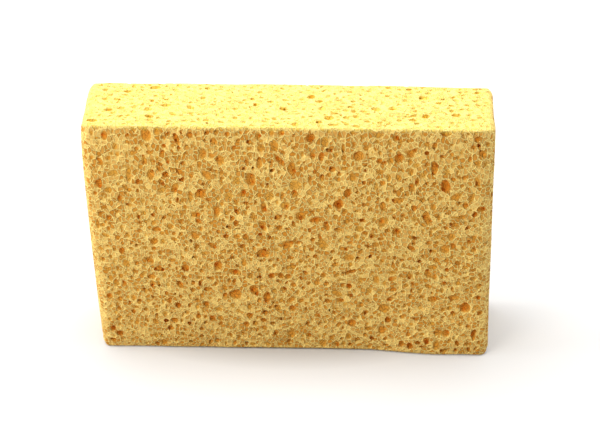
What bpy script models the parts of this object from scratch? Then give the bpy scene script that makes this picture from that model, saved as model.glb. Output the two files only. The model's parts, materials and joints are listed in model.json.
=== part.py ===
"""A grout sponge: one block of open-celled cellulose that stands on its long narrow side.

The block starts as a plain box. Its ends and its front are moved to the shape that the saw left,
its edges are rounded, and its large pores are cut into all six sides.
Metres, +Z up. The origin is on the surface that the block stands on, under its middle.
"""

import math
import random
from dataclasses import dataclass

import bmesh
import bpy
from mathutils import Matrix, Vector

COLLECTION_NAME = "grout_sponge"
CUTTER_COLLECTION_NAME = "cutters"
NODE_NAME = "sponge"

# The plain box
LENGTH = 0.1905
HEIGHT = 0.1110
THICKNESS = 0.0525
END_EDGE_RADIUS = 0.0035
LONG_EDGE_RADIUS = 0.0012
EDGE_SEGMENTS = 2

# Where the saw left the plain box
LEFT_TUCK = 0.0087
LEFT_TUCK_HEIGHT = 0.1000
RIGHT_TUCK = 0.0010
FRONT_LEAN = 0.0035
BACK_CROWN = 0.0015
FOOT_BULGE = 0.0045
FOOT_LENGTH = 0.0430
FOOT_RAMP = 0.0220
FOOT_HEIGHT = 0.0350

# Where the box is sliced, so that it can bend: steps of the foot's ramp, and shares of the length
RAMP_STEPS = 3
CROWN_STATIONS = (-0.43, -0.25, 0.0, 0.43)

# The large pores
PORE_COUNT = 400
PORE_SEED = 12
SMALLEST_PORE = 0.0030
LARGEST_PORE = 0.0066
PORE_WALL = 0.0008
SMALL_PORE_BIAS = 1.6
BARE_PATCH_RADIUS = 0.0070
FLATTEST_PORE = 0.55
SHALLOWEST_PORE = 0.55
DEEPEST_PORE = 0.85
PORE_SINK = 0.06
PORE_LEAN = 0.25
EDGE_BREAK = 0.40
TRIES_PER_PORE = 60
PORE_SIDES = 6
PORE_RINGS = 3

# The largest pores of the front, each as read from the real one in millimetres and degrees:
# right of the middle, above the base, width, height, and turn to the left
MILLIMETRE = 0.001
FRONT_PORES = (
    (-65.5, 106.5, 4.0, 6.0, 20), (-51.5, 105.0, 2.2, 5.5, 20), (-39.5, 98.0, 3.0, 5.0, 0),
    (-31.5, 95.0, 3.5, 5.0, 0), (-63.5, 87.5, 3.0, 5.5, 0), (-52.5, 81.0, 3.0, 5.0, -15),
    (-38.0, 88.0, 4.0, 3.0, 25), (-40.5, 78.5, 4.0, 4.5, 0), (-81.0, 88.0, 5.0, 3.5, 0),
    (-6.5, 102.5, 3.0, 5.0, 0), (10.0, 106.5, 3.5, 4.0, -30), (16.5, 104.5, 3.5, 4.5, 0),
    (-13.5, 94.0, 2.5, 5.5, 0), (1.5, 91.5, 3.5, 6.5, 0), (-17.5, 85.5, 4.0, 6.0, 20),
    (3.0, 83.0, 5.5, 5.0, 0), (29.5, 87.5, 3.0, 4.0, 0), (-9.0, 77.5, 4.5, 4.0, 0),
    (55.8, 99.3, 3.2, 3.6, -25), (50.5, 97.0, 3.6, 4.4, -20), (32.0, 98.0, 4.6, 4.6, 0),
    (72.3, 83.5, 3.8, 6.0, 20), (77.0, 78.0, 4.4, 3.0, -20), (50.5, 76.3, 5.0, 2.4, 0),
    (86.8, 86.0, 2.0, 5.2, 20), (-43.0, 68.0, 3.6, 2.4, 0), (-33.2, 69.5, 2.6, 4.4, 0),
    (-62.3, 54.2, 3.4, 3.0, 0), (-75.5, 43.0, 3.0, 3.0, 0), (-60.0, 40.3, 4.4, 1.8, 0),
    (-48.0, 41.0, 3.2, 3.0, 0), (-32.5, 42.5, 3.8, 3.8, 0), (-43.4, 57.4, 3.4, 3.0, 20),
    (-11.5, 72.0, 2.2, 4.4, 0), (-12.0, 62.5, 2.8, 5.6, 30), (5.5, 67.8, 4.2, 3.6, 0),
    (12.5, 66.0, 5.6, 2.2, 0), (17.5, 61.5, 2.2, 4.0, 20), (23.0, 74.0, 4.0, 3.6, 0),
    (-11.7, 48.8, 5.2, 3.6, 0), (-0.8, 53.3, 4.4, 3.4, 0), (-24.5, 39.3, 5.6, 2.6, 0),
    (15.8, 54.0, 4.0, 5.0, 30), (28.0, 47.3, 5.0, 2.6, 0), (-1.5, 73.5, 4.0, 4.0, 0),
    (43.6, 73.0, 2.4, 4.6, 0), (43.2, 65.3, 3.2, 5.0, 0), (50.0, 60.8, 3.6, 3.0, 0),
    (63.8, 67.8, 3.2, 6.2, 15), (75.2, 58.5, 3.6, 3.2, 0), (72.3, 52.0, 4.2, 3.0, 10),
    (-50.3, 32.5, 2.4, 4.2, 35), (-24.3, 27.8, 5.0, 4.0, 0), (-16.3, 30.0, 3.4, 3.6, 0),
    (-9.9, 26.8, 3.2, 4.2, 0), (22.5, 29.0, 4.2, 2.6, 20), (29.8, 14.2, 3.2, 3.4, 0),
    (67.0, 27.0, 4.4, 2.6, 0), (77.3, 28.0, 5.0, 2.2, 0), (82.5, 22.5, 4.4, 4.0, 0),
    (44.1, 11.8, 3.2, 3.8, 0), (73.8, 11.2, 2.8, 2.6, 0), (68.5, 9.0, 3.4, 2.8, 0),
)

# The colour of the dry foam
FOAM_COLOUR = (0.80, 0.50, 0.10, 1.0)
FOAM_ROUGHNESS = 0.95


@dataclass(frozen=True)
class Side:
    """One side of the plain box, by its middle and its half width and half height as vectors."""

    middle: Vector
    across: Vector
    up: Vector

    @property
    def area(self):
        return 4 * self.across.length * self.up.length

    @property
    def directions(self):
        """The side's own axes, with Z pointing out of the block."""
        across = self.across.normalized()
        up = self.up.normalized()
        return Matrix((across, up, across.cross(up))).transposed()


@dataclass(frozen=True)
class Pore:
    """One rounded hollow: its centre, its own axes, and its width, height and depth."""

    centre: Vector
    directions: Matrix
    size: Vector

    @property
    def reach(self):
        return max(self.size) / 2

    def clears(self, other):
        """Tell whether a wall is left between this pore and another."""
        distance = (self.centre - other.centre).length
        return distance > self.reach + other.reach + PORE_WALL


def clear_scene():
    """Remove every object of the scene that the file opened with."""
    for thing in list(bpy.data.objects):
        bpy.data.objects.remove(thing, do_unlink=True)


def smooth_step(value, start, end):
    """Rise smoothly from 0 at the start to 1 at the end."""
    share = min(1.0, max(0.0, (value - start) / (end - start)))
    return share * share * (3 - 2 * share)


def front_reach(x, z):
    """How far the front stands forward of the plain box at a place on it."""
    lean = FRONT_LEAN * (1 - z / HEIGHT)
    foot_start = LENGTH / 2 - FOOT_LENGTH
    along_foot = smooth_step(x, foot_start, foot_start + FOOT_RAMP)
    down_foot = 1 - smooth_step(z, 0.0, FOOT_HEIGHT)
    return lean + FOOT_BULGE * along_foot * down_foot


def middle_shift():
    """How far back the block moves so that its footprint has the origin at its middle."""
    return (FRONT_LEAN + FOOT_BULGE - BACK_CROWN) / 2


def as_cut(point):
    """Move a point of the plain box to where the saw left it."""
    along = 2 * point.x / LENGTH
    left_tuck = LEFT_TUCK * max(0.0, -along) * max(0.0, 1 - point.z / LEFT_TUCK_HEIGHT)
    right_tuck = RIGHT_TUCK * max(0.0, along) * (1 - point.z / HEIGHT)
    front_share = 0.5 - point.y / THICKNESS
    forward = front_share * front_reach(point.x, point.z)
    backward = (1 - front_share) * BACK_CROWN * (1 - along ** 4)
    y = point.y - forward + backward + middle_shift()
    return Vector((point.x + left_tuck - right_tuck, y, point.z))


def slice_box(mesh, positions, axis):
    """Cut the whole mesh by a plane at each position along an axis."""
    for position in positions:
        geometry = mesh.verts[:] + mesh.edges[:] + mesh.faces[:]
        bmesh.ops.bisect_plane(mesh, geom=geometry, plane_co=axis * position, plane_no=axis)


def weigh_edges(mesh):
    """Give the box's twelve edges their rounding, full along Y and Z and less along X."""
    weights = mesh.edges.layers.float.new("bevel_weight_edge")
    for edge in mesh.edges:
        if edge.calc_face_angle() < math.radians(80):
            continue
        along = edge.verts[1].co - edge.verts[0].co
        is_long_edge = abs(along.x) > max(abs(along.y), abs(along.z))
        edge[weights] = LONG_EDGE_RADIUS / END_EDGE_RADIUS if is_long_edge else 1.0


def make_block():
    """Make the block without its pores."""
    mesh = bmesh.new()
    bmesh.ops.create_cube(mesh, size=1)
    bmesh.ops.scale(mesh, vec=(LENGTH, THICKNESS, HEIGHT), verts=mesh.verts)
    bmesh.ops.translate(mesh, vec=(0, 0, HEIGHT / 2), verts=mesh.verts)
    foot_start = LENGTH / 2 - FOOT_LENGTH
    ramp_stations = [foot_start + FOOT_RAMP * step / RAMP_STEPS for step in range(RAMP_STEPS + 1)]
    crown_stations = [share * LENGTH for share in CROWN_STATIONS]
    height_stations = [FOOT_HEIGHT * step / RAMP_STEPS for step in range(1, RAMP_STEPS + 1)]
    slice_box(mesh, crown_stations + ramp_stations, Vector((1, 0, 0)))
    slice_box(mesh, [0.0], Vector((0, 1, 0)))
    slice_box(mesh, height_stations + [LEFT_TUCK_HEIGHT], Vector((0, 0, 1)))
    weigh_edges(mesh)
    for vertex in mesh.verts:
        vertex.co = as_cut(vertex.co)
    data = bpy.data.meshes.new(NODE_NAME)
    mesh.to_mesh(data)
    mesh.free()
    block = bpy.data.objects.new(NODE_NAME, data)
    rounding = block.modifiers.new("Rounded edges", "BEVEL")
    rounding.limit_method = "WEIGHT"
    rounding.width = END_EDGE_RADIUS
    rounding.segments = EDGE_SEGMENTS
    block.modifiers.new("Flat faces", "TRIANGULATE")
    return block


def box_sides():
    """List the six sides of the plain box."""
    along = Vector((LENGTH / 2, 0, 0))
    deep = Vector((0, THICKNESS / 2, 0))
    high = Vector((0, 0, HEIGHT / 2))
    front = Side(high - deep, along, high)
    back = Side(high + deep, -along, high)
    left = Side(high - along, -deep, high)
    right = Side(high + along, deep, high)
    top = Side(high * 2, along, deep)
    base = Side(Vector((0, 0, 0)), -along, deep)
    return [front, back, left, right, top, base]


def front_pores():
    """Make the pores of the front that are placed one by one."""
    front = box_sides()[0]
    pores = []
    for row in FRONT_PORES:
        x, z, width, height = (value * MILLIMETRE for value in row[:4])
        y = front.middle.y - front_reach(x, z) + middle_shift()
        depth = DEEPEST_PORE * min(width, height)
        centre = Vector((x, y + PORE_SINK * depth, z))
        turn = Matrix.Rotation(math.radians(row[4]), 3, "Z")
        pores.append(Pore(centre, front.directions @ turn, Vector((width, height, 2 * depth))))
    return pores


def near_edge_badly(place, half_size, radius):
    """Tell whether a pore would leave a thin skin beside an edge instead of breaking it."""
    distance = half_size - abs(place)
    return EDGE_BREAK * radius < distance < radius + PORE_WALL


def random_pore(chance, side):
    """Choose a pore at a random place on a side, or None where its place is a bad one."""
    width = SMALLEST_PORE + (LARGEST_PORE - SMALLEST_PORE) * chance.random() ** SMALL_PORE_BIAS
    height = width * chance.uniform(FLATTEST_PORE, 1.0)
    depth = height * chance.uniform(SHALLOWEST_PORE, DEEPEST_PORE)
    across = side.across.length * chance.uniform(-1, 1)
    up = side.up.length * chance.uniform(-1, 1)
    turn = Matrix.Rotation(chance.uniform(0, math.pi), 3, "Z")
    if near_edge_badly(across, side.across.length, width / 2):
        return None
    if near_edge_badly(up, side.up.length, width / 2):
        return None
    place = side.middle + side.directions @ Vector((across, up, -PORE_SINK * depth))
    return Pore(as_cut(place), side.directions @ turn, Vector((width, height, 2 * depth)))


def leaves_base_bare(pore):
    """Tell whether a pore stays off the bare patch at the middle of the base."""
    return pore.centre.length > BARE_PATCH_RADIUS + pore.reach


def scatter_pores():
    """Choose all the pores: those of the front first, then random ones on every side."""
    chance = random.Random(PORE_SEED)
    pores = []
    for pore in front_pores():
        if all(pore.clears(other) for other in pores):
            pores.append(pore)
    placed_on_front = len(pores)
    sides = box_sides()
    whole_area = sum(side.area for side in sides)
    for number, side in enumerate(sides):
        wanted = round(PORE_COUNT * side.area / whole_area)
        if number == 0:
            wanted = max(0, wanted - placed_on_front)
        for attempt in range(wanted * TRIES_PER_PORE):
            pore = random_pore(chance, side)
            if pore is None or not leaves_base_bare(pore):
                continue
            if all(pore.clears(other) for other in pores):
                pores.append(pore)
                wanted -= 1
            if wanted == 0:
                break
    return pores


def make_pore_cutter(pores):
    """Make one object that holds every pore as a separate closed blob, leaning at random."""
    chance = random.Random(PORE_SEED)
    mesh = bmesh.new()
    for pore in pores:
        lean = Matrix.Identity(3)
        lean[0][2] = chance.uniform(-PORE_LEAN, PORE_LEAN)
        lean[1][2] = chance.uniform(-PORE_LEAN, PORE_LEAN)
        shape = pore.directions @ lean @ Matrix.Diagonal(pore.size)
        placed = Matrix.Translation(pore.centre) @ shape.to_4x4()
        bmesh.ops.create_uvsphere(mesh, u_segments=PORE_SIDES, v_segments=PORE_RINGS,
                                  radius=0.5, matrix=placed)
    data = bpy.data.meshes.new("pores")
    mesh.to_mesh(data)
    mesh.free()
    cutter = bpy.data.objects.new("pores", data)
    cutter.hide_render = True
    cutter.display_type = "WIRE"
    return cutter


def cut_pores(block, cutter):
    """Cut the pores into the block."""
    cut = block.modifiers.new("Pores", "BOOLEAN")
    cut.operation = "DIFFERENCE"
    cut.solver = "EXACT"
    cut.object = cutter


def foam_material():
    """Make the material of the dry foam."""
    material = bpy.data.materials.new("yellow_foam")
    material.use_nodes = True
    material.diffuse_color = FOAM_COLOUR
    shader = material.node_tree.nodes["Principled BSDF"]
    shader.inputs["Base Color"].default_value = FOAM_COLOUR
    shader.inputs["Roughness"].default_value = FOAM_ROUGHNESS
    shader.inputs["Metallic"].default_value = 0.0
    return material


def file_in_collection(name, thing):
    """Put an object into a collection of the scene."""
    collection = bpy.data.collections.new(name)
    bpy.context.scene.collection.children.link(collection)
    collection.objects.link(thing)


def centre_on_origin(block, cutter):
    """Move the block and its cutter together, so that the origin is under the block's middle."""
    cutter.parent = block
    view = bpy.context.evaluated_depsgraph_get()
    corners = [Vector(corner) for corner in block.evaluated_get(view).bound_box]
    nearest = Vector(min(corner[axis] for corner in corners) for axis in range(3))
    farthest = Vector(max(corner[axis] for corner in corners) for axis in range(3))
    middle = (nearest + farthest) / 2
    block.location = (-middle.x, -middle.y, -nearest.z)


def main():
    """Build the sponge."""
    clear_scene()
    block = make_block()
    cutter = make_pore_cutter(scatter_pores())
    file_in_collection(COLLECTION_NAME, block)
    file_in_collection(CUTTER_COLLECTION_NAME, cutter)
    block.data.materials.append(foam_material())
    cut_pores(block, cutter)
    centre_on_origin(block, cutter)


main()
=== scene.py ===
"""The looks of a grout sponge: its open-celled foam, a plain studio around it, and the camera.

The foam is made as the real one is: a block is filled with rounded cells, from large to small, and
cut at its sides, so that the cells open as pores. The block is then bent to the shape that the saw
left. Lengths are in millimetres until a mesh is finished, because foam is easier to read that way.
"""

from __future__ import annotations

import json
import logging
import math
from dataclasses import dataclass, field
from enum import Enum

import bpy
import numpy as np
import openvdb
from mathutils import Matrix, Vector

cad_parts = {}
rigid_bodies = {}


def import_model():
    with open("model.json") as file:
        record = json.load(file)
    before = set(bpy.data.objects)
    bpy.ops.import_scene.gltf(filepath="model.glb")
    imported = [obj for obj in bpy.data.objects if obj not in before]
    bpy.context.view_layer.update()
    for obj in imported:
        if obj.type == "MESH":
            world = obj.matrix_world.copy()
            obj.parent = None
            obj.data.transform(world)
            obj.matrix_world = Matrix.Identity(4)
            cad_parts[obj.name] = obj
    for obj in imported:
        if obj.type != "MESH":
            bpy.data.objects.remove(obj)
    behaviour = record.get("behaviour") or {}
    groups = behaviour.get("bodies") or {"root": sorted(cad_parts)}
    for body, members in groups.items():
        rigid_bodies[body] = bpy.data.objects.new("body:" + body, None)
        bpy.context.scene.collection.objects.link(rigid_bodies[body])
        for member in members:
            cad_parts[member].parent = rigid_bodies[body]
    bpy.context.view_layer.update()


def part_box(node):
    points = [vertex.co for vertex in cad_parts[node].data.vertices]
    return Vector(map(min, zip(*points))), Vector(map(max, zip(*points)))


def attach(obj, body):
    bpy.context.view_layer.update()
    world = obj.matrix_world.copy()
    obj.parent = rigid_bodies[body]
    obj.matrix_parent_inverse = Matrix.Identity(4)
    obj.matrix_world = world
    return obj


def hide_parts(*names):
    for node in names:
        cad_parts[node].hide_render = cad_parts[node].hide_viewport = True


LOG = logging.getLogger("grout_sponge")

Colour = tuple[float, float, float]

MILLIMETRE = 0.001
PATTERN_MAP = "sides"
SQUARE_CENTIMETRE = 100


class PoreDepth(Enum):
    """How deep a pore of the front goes, as a share of its width for one of the usual size."""

    SHALLOW = 0.25
    MIDDLE = 0.37
    DEEP = 0.52


# The pores of the front, as read from the photograph, in millimetres and degrees:
# right of the middle, above the base, width, height, and turn to the left
FRONT_PORES = {
    PoreDepth.DEEP: (
        (-51.5, 105, 2.4, 5.5, 20), (-40.5, 78.5, 4, 4.5, 0), (10, 106.5, 3.6, 4.2, -30),
        (55.8, 99.3, 3.2, 3.6, -25), (50.5, 97, 3.6, 4.4, -20), (72.3, 83.5, 3.8, 6, 20),
        (-33.2, 69.5, 2.8, 4.6, 0), (-62.3, 54.2, 3.4, 3.2, 0), (-60, 40.3, 4.6, 1.9, 0),
        (-48, 41, 3.4, 3.2, 0), (-32.5, 42.5, 3.8, 3.8, 0), (12.5, 66, 5.6, 2.2, 8),
        (17.5, 63, 2.4, 4.2, 20), (23, 74, 4.2, 4, 0), (-11.7, 48.8, 5.4, 3.8, 0),
        (-50.3, 32.5, 2.6, 4.4, 35), (-24.3, 27.8, 5.2, 4.2, 0), (-16.1, 30.4, 3.6, 4.6, 20),
        (-9.9, 26.8, 3.4, 4.6, 0), (29.8, 14.2, 3.4, 3.6, 0), (82.4, 23.2, 4.8, 4.2, 20),
        (44, 11.3, 3.4, 3.9, -15), (73.8, 11.2, 3, 2.8, 0), (69.9, 11.4, 3.4, 2.8, 0),
        (-84.5, 106.5, 2.5, 4, 0), (-87.5, 82.5, 2.8, 4.2, 15), (-58.6, 83.7, 2.2, 3.6, 35),
        (27.3, 79.5, 2.6, 4.6, -10), (15, 97.3, 2.4, 4.2, 0), (48.8, 106.8, 2.8, 2.8, 0),
        (66.9, 103.4, 2, 3.4, -15), (88.8, 99.8, 3.2, 3, 0), (86.3, 106.8, 2.8, 2.8, 0),
        (-61.2, 60.3, 3.8, 2, 0), (-64.6, 44.8, 3.8, 2.2, -35), (-20, 57, 2.5, 2.9, 0),
        (-7.8, 37.7, 2.9, 2.6, 0), (-3.6, 38, 2.8, 2.8, 0), (57, 52.5, 3.7, 1.9, -20),
        (81.5, 74.2, 2.7, 2.8, 0), (64.9, 39.4, 3.4, 2.6, -30), (-63.2, 36.5, 2.6, 2.6, 0),
        (-53, 14.5, 2.9, 2.5, 0), (-55.2, 10.3, 2.8, 2.2, 0), (-82.3, 9.8, 3, 2.5, 0),
        (-18, 17.2, 2.9, 2.7, 0), (1.2, 25.4, 4.4, 2, 30), (13.6, 17.8, 2.8, 2, -15),
        (64.7, 7.2, 2.5, 3.3, 0), (28.2, 32.8, 2.5, 2.5, 0), (-86.5, 93.3, 1.6, 3.4, 20),
        (-50.2, 88.9, 2.6, 2.2, 0), (-45.5, 107.2, 2.8, 2.6, 0), (-34.6, 104.4, 2.6, 3.2, 0),
        (-18.4, 104.2, 1.8, 1.8, 0), (-16.4, 91.2, 1.8, 1.8, 0), (-7.4, 90.5, 2.8, 1.8, 35),
        (2.4, 101.6, 2.6, 1.8, 0), (20.2, 91.3, 3, 2.6, 0), (35.2, 90.9, 1.4, 1.4, 0),
        (43.1, 84.8, 2.6, 2.6, 0), (3, 78.8, 3.4, 2.6, -25), (45.5, 76.6, 2.2, 2, 0),
        (87, 103.7, 2.4, 1.8, -25), (63.4, 99.8, 2, 1.6, 0), (67, 92.5, 2.8, 5.8, 5),
        (-23.6, 69.3, 1.4, 2.6, 15), (-27.5, 61.8, 2.6, 1.4, -25), (-45, 54.5, 1.2, 2, 25),
        (-13.5, 37, 2.2, 1.6, 0), (-41.3, 33.6, 1.4, 1.8, 0), (1.2, 67, 2.2, 2, 0),
        (35.5, 59.9, 2.8, 1.8, 0), (45.8, 61.2, 2.4, 2, 0), (36.5, 53.2, 2.6, 1.4, -30),
        (26.5, 49.3, 1.8, 1, 0), (1.3, 46.8, 2.8, 1.6, 0), (29, 40.3, 5.2, 1.5, 15),
        (16.4, 38.5, 2.4, 2.6, 0), (84.2, 66.6, 1.4, 1, 0), (58.3, 57.8, 2.8, 1.6, -30),
        (85.6, 51.9, 2.4, 2.4, 0), (73.2, 46.3, 2.4, 1.4, -15), (60.5, 43, 1.4, 1, 0),
        (68, 38.2, 2, 2.6, 0), (-78.8, 15.5, 1.6, 1.6, 0), (-80, 14.4, 1.8, 1.2, 0),
        (-29.8, 31.3, 2.6, 3, 20), (-40.6, 6.2, 2.4, 2.4, 0), (-22.9, 6, 1.4, 1.6, 0),
        (48.7, 31.5, 3.4, 1.8, 10), (36.3, 20, 2.8, 1.4, 10), (19.3, 20.6, 1.2, 1.2, 0),
        (50.2, 16.2, 2, 2, 0), (88.6, 28.3, 2.2, 2.4, 0), (77.2, 20.4, 2.6, 2, -15),
        (60.7, 6.2, 2, 1.8, 0), (83.5, 6.2, 2, 1.6, 0), (-60.2, 21.7, 1.2, 1, 0),
    ),
    PoreDepth.MIDDLE: (
        (-65.5, 107, 4.2, 6, 20), (-39.5, 98, 3, 5, 0), (-31.5, 95, 3.6, 5, 0),
        (-63.5, 87.5, 3.2, 5.4, 0), (-52.5, 81, 3, 5, -15), (-37.6, 87.4, 5, 3, -40),
        (-6.5, 102.5, 3.2, 5.2, 0), (-13.5, 94, 2.6, 5.6, 0), (1.5, 91.5, 3.6, 6.4, 0),
        (-17.5, 85.5, 4, 6, 20), (29.5, 87.5, 3, 4, 0), (32, 98, 4.6, 4.6, 0),
        (77.4, 78.6, 5.4, 2.8, 30), (50.5, 76.3, 5, 2.6, 8), (86.8, 86, 2.2, 5.2, 20),
        (-43, 68, 3.8, 2.6, 0), (-75.5, 43, 3.2, 3.2, 0), (-43.6, 57.4, 3, 4, 25),
        (-11.5, 72, 2.4, 4.6, 0), (-12, 62.5, 2.8, 5.6, 30), (5.5, 67.8, 4.4, 3.8, 0),
        (-0.8, 53.3, 4.4, 3.6, 0), (-24.5, 39.3, 5.6, 2.8, -12), (28, 47.3, 5, 2.8, 0),
        (43.6, 73, 2.6, 4.8, 0), (43.2, 65.3, 3.2, 5, 0), (50, 60.8, 3.8, 3.2, 0),
        (63.8, 67.8, 3.2, 6.2, 15), (75.2, 58.5, 3.6, 3.2, 0), (72.3, 52, 4.2, 3.2, -15),
        (22.6, 29.2, 5.2, 2.6, -25), (67, 27, 4.4, 2.8, 0), (77.3, 28, 5, 2.4, 0),
        (-79.8, 101.2, 2.2, 3.6, 0), (-45.5, 77.5, 2, 4.4, 0), (-66.7, 95, 2, 3.6, 0),
        (-14.2, 107, 2.4, 3.6, 0), (-12.8, 101.3, 3.4, 3.4, 0), (-4, 95.2, 2.2, 6.4, 42),
        (-21, 78.7, 2.4, 4, -10), (63.4, 104, 2.6, 2.4, 0), (56.5, 82.7, 2.8, 4, 0),
        (84.5, 78, 2, 4.4, -20), (56.2, 90.5, 2.2, 3.6, 0), (-54.8, 61.8, 3.2, 2.4, 0),
        (-85, 57, 4, 1.8, -20), (-35.4, 52.6, 4.2, 2.2, -25), (-53, 55.5, 3, 2, 0),
        (-54, 45, 3.6, 1.8, 0), (-16.3, 67.3, 2.3, 3.8, 0), (-5, 67, 2.8, 3, 0),
        (23, 61.3, 4, 2, 0),
        (27, 65.5, 3, 2.4, 20), (-20.7, 44, 2.4, 3.8, 0), (1.7, 42.3, 3.4, 2.4, 0),
        (58.3, 67.3, 3.2, 2.3, 0), (89, 72.5, 3.6, 2.6, 0), (76.6, 64.6, 4.2, 2, -15),
        (91, 47.3, 3, 2.8, 0), (67, 43, 4, 2, 0), (66.7, 73.3, 2.5, 3, 0),
        (-62.3, 13.6, 2.4, 3.4, 35),
        (-83.5, 26.2, 3.2, 2.8, 0), (-80.3, 32.8, 3, 3, 0), (-37.5, 30.5, 3.5, 2, 0),
        (-72.3, 25.6, 2.2, 2.8, 0), (-18, 21.8, 2.1, 3, 0), (-4.8, 21.3, 2.8, 3, 0),
        (-15.5, 13.3, 2.6, 2.8, 0), (22.5, 3.5, 2.7, 2.3, 0), (16.4, 3.5, 3.4, 3, 0),
        (1.4, 8.2, 3.6, 3.4, 0), (40.8, 36.4, 2.7, 3.3, 0), (33.5, 36, 2.3, 3.3, 0),
        (56.5, 38.4, 3, 2.6, 0), (48.5, 37, 3.6, 2, 0), (65.3, 33.5, 4, 1.8, -10),
        (86.5, 10.2, 2, 4.2, 0), (69.4, 5.2, 2.8, 4.6, 0), (-90.5, 107.3, 2, 2.2, 0),
        (-71.8, 98, 2.4, 2.4, 0), (-78.8, 97.3, 1.6, 2.4, -15), (-63, 94.5, 2.4, 2.2, 0),
        (-57.5, 101.6, 2.4, 2.2, 0), (-55.7, 94.5, 1.8, 2.8, 0), (-48.3, 93.3, 1.8, 2.6, 0),
        (-48.7, 85.2, 1.4, 2.6, -15), (-75.6, 81.2, 2.8, 2.2, -20), (-73.5, 79.8, 2.4, 1.8, -20),
        (-89.6, 78, 1.6, 2.4, 30), (-77.8, 75.8, 2, 3.2, 0), (-72.2, 74.8, 2.6, 2.2, 0),
        (-56.5, 81.5, 1.4, 2, 0), (-33.4, 108.6, 2.4, 2.2, 0), (-16.7, 103.5, 1.2, 1.6, 0),
        (-12.8, 104.6, 2.2, 1.4, 20), (-8, 109.3, 2.4, 3, 0), (-3.5, 108.8, 3, 2.6, 0),
        (-3.8, 102.3, 1.2, 1.2, 0), (-9, 97.7, 1.6, 1.4, 0), (-20.8, 90.5, 1.4, 1.2, 0),
        (-26.7, 86.8, 1.4, 2, -25), (-45, 87, 1.6, 2.6, 30), (-9.5, 82.8, 1.2, 3, 0),
        (-34, 79, 1.6, 1.2, 0), (-32.8, 76, 2.2, 2, 0), (-45.8, 75.2, 2.2, 2, 0),
        (-2.8, 78, 1.4, 3.2, 0), (1.6, 104.9, 1.2, 1.4, 0), (6.3, 98.6, 1.8, 3.2, -10),
        (11, 98, 2.6, 4, 0), (18.6, 100.6, 3, 1.8, -15), (18, 94.9, 2.4, 2.2, 0),
        (21.5, 98.3, 2.2, 2.6, 0), (25.3, 97, 2.2, 3, 0), (24.9, 101.8, 1.4, 4.6, 5),
        (35.5, 102, 2.4, 2.6, 20), (40.6, 105, 2.2, 2, 0), (41.8, 99.6, 1.4, 2.2, 0),
        (46.7, 95.9, 2.6, 2.8, 0), (18.5, 88.4, 2.4, 2.2, 0), (15.4, 86.8, 2.2, 3.6, 0),
        (23, 86.3, 2.2, 2, 0), (23.3, 88.8, 2.2, 1.6, 0), (25.5, 91.8, 3, 2, 15),
        (32.2, 91.8, 2, 1.8, 0), (42, 90.2, 3.6, 2.4, 10), (38, 85, 2, 1.4, 0),
        (9.2, 78.9, 1.4, 1.6, 0), (12, 79, 1.8, 1.2, -30), (15, 82.3, 2.8, 1.2, 0),
        (23.2, 80.8, 2.2, 1.8, 0), (10, 74.3, 2, 2.6, 0), (34, 82, 1.6, 1.2, 0),
        (36.5, 79.8, 1.4, 1.8, 0), (51.4, 105.2, 1.6, 2.8, -15), (86.5, 94.9, 2.6, 2.6, 0),
        (90.6, 94.6, 2, 3.2, 0), (70, 97, 1.2, 2.2, 0), (50.4, 87.5, 2.6, 2.8, 0),
        (59.2, 85.6, 1.6, 3.4, -5), (54.5, 79.3, 2.2, 1.2, 0), (61.5, 76.6, 2.4, 2.2, 0),
        (67.5, 79.9, 2.4, 1.6, 0), (69.8, 77.5, 2, 2, 0), (-61.5, 70.8, 1.8, 2.8, 20),
        (-62.8, 67.5, 1.6, 1.2, 0), (-53, 67, 1.8, 2, 25), (-69.8, 67.2, 1.4, 2.2, 0),
        (-73.5, 72.2, 2.4, 1.8, 0), (-88.5, 62.5, 1.6, 4.6, 0), (-77.5, 61.2, 1.4, 2.4, -20),
        (-74.5, 57.2, 1.6, 2.6, 25), (-58.3, 58.5, 2.6, 1.8, 0), (-49.8, 58, 1.8, 2, 0),
        (-73, 50.5, 2.8, 1.6, -20), (-87.5, 50.3, 3.2, 1.6, -20), (-70.8, 47.3, 1.2, 1.4, 0),
        (-84.5, 39.8, 2.8, 2, -20), (-75.8, 38, 1.8, 2.6, 30), (-67.5, 37.8, 1.8, 2, 0),
        (-66.5, 42.3, 1.6, 1.6, 0), (-83, 35.2, 2, 3.2, 0), (-20, 69.2, 1.8, 2, 0),
        (-28.6, 69, 2.2, 2, 0), (-23.3, 61.2, 2.6, 1, 0), (-24, 57.2, 3.4, 2.4, 0),
        (-18, 54.8, 2.4, 2.2, 0), (-12.6, 57.3, 1.4, 2.8, 35), (-8.8, 57.5, 1.6, 1.8, 0),
        (-39.5, 48.5, 3, 1.8, -15), (-43.5, 46.6, 2.6, 1.2, 0), (-37.8, 42.5, 1, 2.4, 0),
        (-26.5, 50, 3, 1.4, 0), (-17, 48, 2.4, 1, 0), (-17.5, 45.6, 1.8, 1.4, -35),
        (-12.8, 35.3, 1.8, 1.2, 0), (-36, 36, 3, 1.4, -15), (-0.3, 42, 1.6, 2.4, 0),
        (13.8, 70.6, 2, 1.8, 0), (18, 70.3, 2.2, 1.8, 0), (2.4, 63.8, 1.4, 2.4, 15),
        (31.5, 70.7, 2, 1.6, 0), (34, 66, 3.8, 1.6, -10), (35, 69, 1.8, 1, 0),
        (40, 68.8, 1.4, 1.4, 0),
        (45.3, 66.2, 1.4, 3.4, 0), (31.5, 58, 2.2, 2.6, 20), (34.8, 57, 1.8, 2, 0),
        (38.8, 58.5, 2.6, 2.2, 0), (42.8, 57, 3, 1.6, 0), (27.8, 57.7, 1.8, 1.4, 0),
        (21.3, 58.2, 2.4, 1, -15), (18.2, 57.8, 1.4, 1.6, 0), (14.5, 57.5, 1.6, 3.2, 20),
        (7.5, 51.5, 1.4, 3.2, 0), (40.5, 54.2, 3.2, 2.2, 0), (44.3, 51.2, 2.6, 2, 0),
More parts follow.
